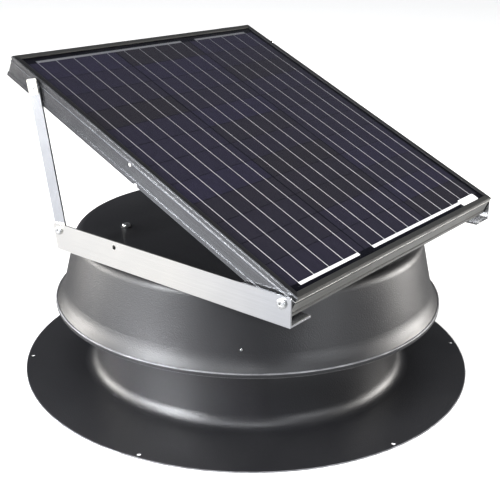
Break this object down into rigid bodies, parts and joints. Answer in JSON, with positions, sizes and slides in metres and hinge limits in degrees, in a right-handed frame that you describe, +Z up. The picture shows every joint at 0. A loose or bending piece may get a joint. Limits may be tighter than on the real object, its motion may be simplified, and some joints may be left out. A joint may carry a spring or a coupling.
{
  "type": "solar attic fan",
  "caption": "Round roof fan: flat flange and throat under a wide spun hood, with a tilted solar panel on two rails and folding struts above it.",
  "frame": {"origin": "centre of the flange's underside", "axes": "+Z up, the fan's axis; the panel's low edge faces -Y; the panel's width and the tilt hinge run along X"},
  "size_m": [0.66, 0.66, 0.4558],
  "materials": {
    "black_coat": "matte black powder coat with a fine grain",
    "mill_aluminium": "clean mill finish with fine drawn lines",
    "frame_anodised": "black anodised extrusion, satin",
    "zinc_steel": "zinc plated, satin",
    "galvanised_sheet": "galvanised sheet, dull",
    "screen_black": "black coated perforated sheet",
    "seal_rubber": "matte black EPDM",
    "motor_paint": "satin dark grey paint",
    "lamination": "stacked steel laminations",
    "copper_wire": "enamelled copper",
    "magnet": "nickel plated ferrite",
    "bearing_steel": "ground bearing steel",
    "fan_aluminium": "pressed sheet, satin",
    "solar_glass": "tempered glass, smooth",
    "silicon_cell": "dark blue monocrystalline silicon",
    "tinned_ribbon": "tinned copper ribbon",
    "backsheet_black": "black laminated backsheet",
    "box_plastic": "black moulded box, fine grain",
    "label_white": "blank white label"
  },
  "bodies": {
    "root": {"base_flashing": "black_coat", "hood": "black_coat", "insect_screen": "screen_black", "hood_bracket_1": "galvanised_sheet", "hood_bracket_2": "galvanised_sheet", "hood_bracket_3": "galvanised_sheet", "hood_bracket_4": "galvanised_sheet", "bracket_bolts": "zinc_steel", "bracket_nuts": "zinc_steel", "hood_bolts": "zinc_steel", "hood_bolt_seals": "seal_rubber", "hood_bolt_nuts": "zinc_steel", "screen_screws": "screen_black", "cable_grommet": "seal_rubber", "motor_mount": "galvanised_sheet", "motor_housing": "motor_paint", "motor_end_cap": "motor_paint", "motor_screws": "zinc_steel", "motor_cap_screws": "zinc_steel", "motor_bearings": "bearing_steel", "stator_core": "lamination", "stator_windings": "copper_wire", "rail_left": "mill_aluminium", "rail_right": "mill_aluminium", "rail_seals": "seal_rubber", "rail_bolts": "zinc_steel", "rail_nuts": "zinc_steel", "strut_foot_screws": "zinc_steel"},
    "rotor": {"rotor_shaft": "bearing_steel", "rotor_core": "lamination", "rotor_magnets": "magnet", "fan_hub": "fan_aluminium", "hub_set_screws": "zinc_steel", "fan_blade_1": "fan_aluminium", "fan_blade_2": "fan_aluminium", "fan_blade_3": "fan_aluminium", "fan_blade_4": "fan_aluminium", "fan_blade_5": "fan_aluminium"},
    "panel": {"frame_left": "frame_anodised", "frame_right": "frame_anodised", "frame_front": "frame_anodised", "frame_rear": "frame_anodised", "corner_keys": "galvanised_sheet", "panel_glass": "solar_glass", "backsheet": "backsheet_black", "solar_cells": "silicon_cell", "cell_ribbons": "tinned_ribbon", "junction_box": "box_plastic", "junction_box_lid": "box_plastic", "junction_box_gland": "box_plastic", "panel_label": "label_white", "pivot_bolts": "zinc_steel", "pivot_spacers": "zinc_steel", "panel_nuts": "zinc_steel", "strut_top_washers": "zinc_steel", "strut_top_bolts": "zinc_steel"},
    "strut_left": {"strut_left": "mill_aluminium"},
    "strut_right": {"strut_right": "mill_aluminium"}
  },
  "joints": [
    {"name": "fan_spin", "type": "hinge", "parent": "root", "child": "rotor", "pos_m": [0, 0, 0.06], "axis": [0, 0, 1], "continuous": true},
    {"name": "panel_tilt", "type": "hinge", "parent": "root", "child": "panel", "pos_m": [0, -0.248, 0.2335], "axis": [1, 0, 0], "range_deg": [-24.3, 0]},
    {"name": "strut_left_fold", "type": "hinge", "parent": "root", "child": "strut_left", "pos_m": [-0.2511, 0.122, 0.2335], "axis": [1, 0, 0], "range_deg": [0, 102.8]},
    {"name": "strut_right_fold", "type": "hinge", "parent": "root", "child": "strut_right", "pos_m": [0.2511, 0.122, 0.2335], "axis": [1, 0, 0], "range_deg": [0, 102.8]}
  ],
  "couplings": [
    {"joint": "strut_left_fold", "follows": "panel_tilt", "ratio": -4.2292},
    {"joint": "strut_right_fold", "follows": "panel_tilt", "ratio": -4.2292}
  ]
}
